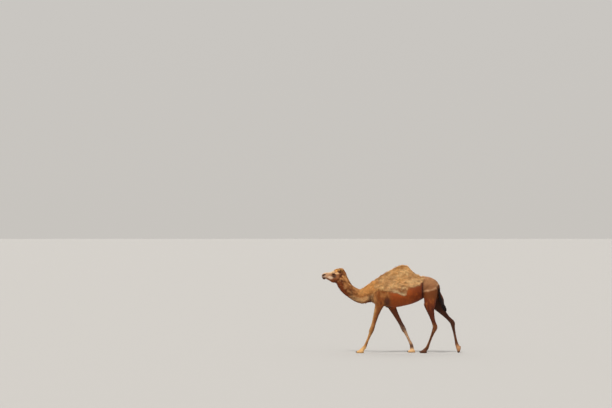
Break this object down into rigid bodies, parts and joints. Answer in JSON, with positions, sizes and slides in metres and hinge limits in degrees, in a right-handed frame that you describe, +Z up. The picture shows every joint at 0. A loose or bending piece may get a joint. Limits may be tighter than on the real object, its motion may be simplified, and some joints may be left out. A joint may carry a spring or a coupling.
{
  "type": "dromedary camel",
  "caption": "Life-size dromedary camel walking, with head held forward on a low curved neck, a woolly hump and long slim legs.",
  "frame": {"origin": "on the floor, below the middle of the whole camel's box", "axes": "+Z up, the camel faces -X, +Y to its right side"},
  "size_m": [3.0532, 0.5716, 1.948],
  "materials": {
    "wool": "matted golden tan wool",
    "short_coat": "short smooth brown hair",
    "leg_coat": "short flat brown hair",
    "dark_hair": "long coarse black-brown hair",
    "eye": "wet and glossy",
    "nail": "worn horn",
    "callus": "thick bare skin"
  },
  "bodies": {
    "root": {"trunk": "wool", "hump": "wool", "neck": "wool", "head": "short_coat", "ear_left": "short_coat", "ear_right": "short_coat", "eye_left": "eye", "eye_right": "eye", "forearm_left": "leg_coat", "forearm_right": "leg_coat", "fore_shank_left": "leg_coat", "fore_shank_right": "leg_coat", "fore_foot_left": "leg_coat", "fore_foot_right": "leg_coat", "thigh_left": "leg_coat", "thigh_right": "leg_coat", "gaskin_left": "leg_coat", "gaskin_right": "leg_coat", "hind_shank_left": "leg_coat", "hind_shank_right": "leg_coat", "hind_foot_left": "leg_coat", "hind_foot_right": "leg_coat", "nail_fore_left_outer": "nail", "nail_fore_left_inner": "nail", "nail_fore_right_outer": "nail", "nail_fore_right_inner": "nail", "nail_hind_left_outer": "nail", "nail_hind_left_inner": "nail", "nail_hind_right_outer": "nail", "nail_hind_right_inner": "nail", "tail": "dark_hair", "tail_tuft": "dark_hair", "chest_pad": "callus"}
  },
  "joints": []
}
